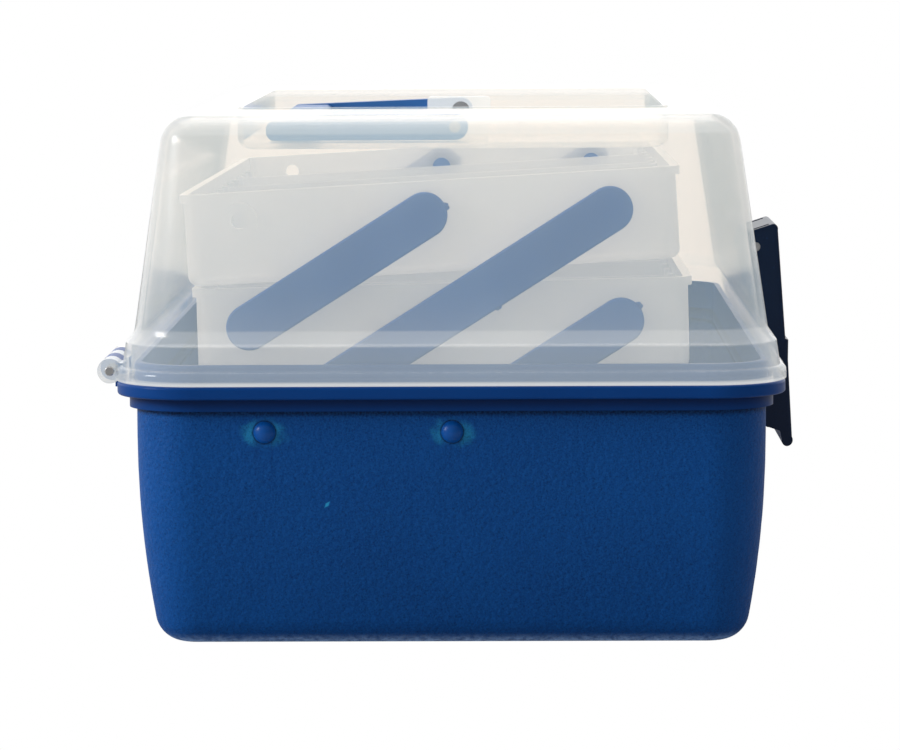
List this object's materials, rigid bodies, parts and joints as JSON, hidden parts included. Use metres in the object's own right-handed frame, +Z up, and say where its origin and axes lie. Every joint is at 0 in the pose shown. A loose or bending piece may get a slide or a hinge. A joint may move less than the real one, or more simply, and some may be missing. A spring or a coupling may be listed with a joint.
{
  "type": "art supply box",
  "caption": "Blue plastic art box with a frosted hinged lid, front latch, folding top handle and divided trays that rise on cantilever arms.",
  "frame": {"origin": "middle of the flat foot under the base, on the surface that the box stands on", "axes": "+X along the hinge and the box's length, -Y towards the latch, +Y towards the hinge, +Z up"},
  "size_m": [0.3456, 0.2205, 0.1617],
  "materials": {
    "base_plastic": "fine pebble grain, satin",
    "lid_plastic": "frosted translucent, gloss outside",
    "tray_plastic": "milky translucent",
    "divider_plastic": "milky translucent",
    "arm_plastic": "smooth satin",
    "latch_plastic": "smooth semi-gloss",
    "handle_plastic": "smooth semi-gloss",
    "rivet_plastic": "smooth domed heads",
    "steel": "plain drawn wire"
  },
  "bodies": {
    "base": {"base_shell": "base_plastic", "base_rivets_left": "rivet_plastic", "base_rivets_right": "rivet_plastic"},
    "lid": {"lid_shell": "lid_plastic", "hinge_pin_left": "steel", "hinge_pin_right": "steel", "latch_pin": "steel", "handle_pin_left": "steel", "handle_pin_right": "steel"},
    "latch": {"latch": "latch_plastic"},
    "handle": {"handle": "handle_plastic"},
    "arm_long": {"arm_long_left": "arm_plastic", "arm_long_right": "arm_plastic"},
    "arm_short_lower": {"arm_short_lower_left": "arm_plastic", "arm_short_lower_right": "arm_plastic"},
    "arm_short_upper": {"arm_short_upper_left": "arm_plastic", "arm_short_upper_right": "arm_plastic"},
    "lower_tray": {"lower_tray": "tray_plastic", "lower_tray_dividers": "divider_plastic"},
    "upper_tray": {"upper_tray": "tray_plastic", "upper_tray_dividers": "divider_plastic"}
  },
  "joints": [
    {"name": "lid_hinge", "type": "hinge", "parent": "base", "child": "lid", "pos_m": [0, 0.1042, 0.0834], "axis": [-1, 0, 0], "range_deg": [0, 175]},
    {"name": "latch_pivot", "type": "hinge", "parent": "lid", "child": "latch", "pos_m": [0, -0.1, 0.112], "axis": [-1, 0, 0], "range_deg": [0, 75]},
    {"name": "handle_pivot", "type": "hinge", "parent": "lid", "child": "handle", "pos_m": [0, -0.0006, 0.1549], "axis": [1, 0, 0], "range_deg": [0, 90]},
    {"name": "arm_long_pivot", "type": "hinge", "parent": "base", "child": "arm_long", "pos_m": [0, 0.056, 0.0665], "axis": [-1, 0, 0], "range_deg": [0, 71.8]},
    {"name": "arm_short_lower_pivot", "type": "hinge", "parent": "base", "child": "arm_short_lower", "pos_m": [0, -0.0005, 0.0665], "axis": [-1, 0, 0], "range_deg": [0, 71.8]},
    {"name": "lower_tray_pivot", "type": "hinge", "parent": "arm_long", "child": "lower_tray", "pos_m": [0, 0.00492, 0.09892], "axis": [1, 0, 0], "range_deg": [0, 71.8]},
    {"name": "upper_tray_pivot", "type": "hinge", "parent": "arm_long", "child": "upper_tray", "pos_m": [0, -0.04827, 0.13267], "axis": [1, 0, 0], "range_deg": [0, 71.8]},
    {"name": "arm_short_upper_pivot", "type": "hinge", "parent": "lower_tray", "child": "arm_short_upper", "pos_m": [0, 0.06092, 0.09732], "axis": [-1, 0, 0], "range_deg": [0, 71.8]}
  ],
  "couplings": [
    {"joint": "arm_long_pivot", "follows": "lid_hinge", "ratio": 0.41},
    {"joint": "arm_short_lower_pivot", "follows": "lid_hinge", "ratio": 0.41},
    {"joint": "lower_tray_pivot", "follows": "lid_hinge", "ratio": 0.41},
    {"joint": "upper_tray_pivot", "follows": "lid_hinge", "ratio": 0.41},
    {"joint": "arm_short_upper_pivot", "follows": "lid_hinge", "ratio": 0.41}
  ]
}
